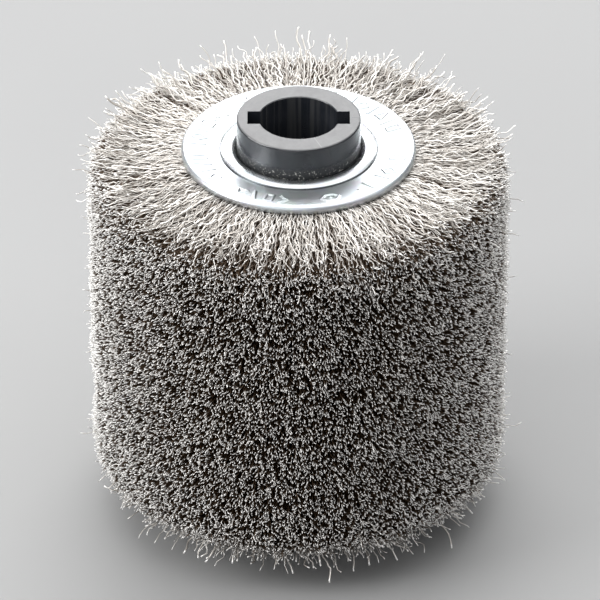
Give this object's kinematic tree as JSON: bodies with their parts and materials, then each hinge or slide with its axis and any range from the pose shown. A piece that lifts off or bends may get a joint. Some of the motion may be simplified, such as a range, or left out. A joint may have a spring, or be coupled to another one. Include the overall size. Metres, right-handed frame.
{
  "type": "wire drum brush",
  "caption": "Cylindrical brush of crimped steel wire on a keyed plastic sleeve, with pressed steel end plates, for a rotary finishing machine's arbor.",
  "frame": {"origin": "middle of the bore, halfway between the sleeve's two end faces", "axes": "+Z along the bore axis, towards the end shown uppermost; X through the two keyways; Y at a right angle to both"},
  "size_m": [0.1016, 0.1016, 0.1062],
  "materials": {
    "black_plastic": "moulded, fine satin grain",
    "zinc_plated_tube": "bright zinc plate over a smooth rolled edge",
    "zinc_plated_plate": "bright zinc plate, stamped",
    "crimped_wire": "drawn steel wire, crimped, bright cut tips",
    "ring_wire": "drawn steel rod, bent and butt-welded",
    "plain_steel": "mill-finish sheet"
  },
  "bodies": {
    "root": {"keyed_sleeve": "black_plastic", "core_tube": "zinc_plated_tube", "end_plate_top": "zinc_plated_plate", "end_plate_bottom": "zinc_plated_plate", "wire_fill_1": "crimped_wire", "wire_fill_2": "crimped_wire", "wire_fill_3": "crimped_wire", "wire_fill_4": "crimped_wire", "wire_fill_5": "crimped_wire", "wire_fill_6": "crimped_wire", "wire_fill_7": "crimped_wire", "retaining_ring_1": "ring_wire", "retaining_ring_2": "ring_wire", "retaining_ring_3": "ring_wire", "retaining_ring_4": "ring_wire", "retaining_ring_5": "ring_wire", "retaining_ring_6": "ring_wire", "retaining_ring_7": "ring_wire", "separator_1": "plain_steel", "separator_2": "plain_steel", "separator_3": "plain_steel", "separator_4": "plain_steel", "separator_5": "plain_steel", "separator_6": "plain_steel"}
  },
  "joints": []
}
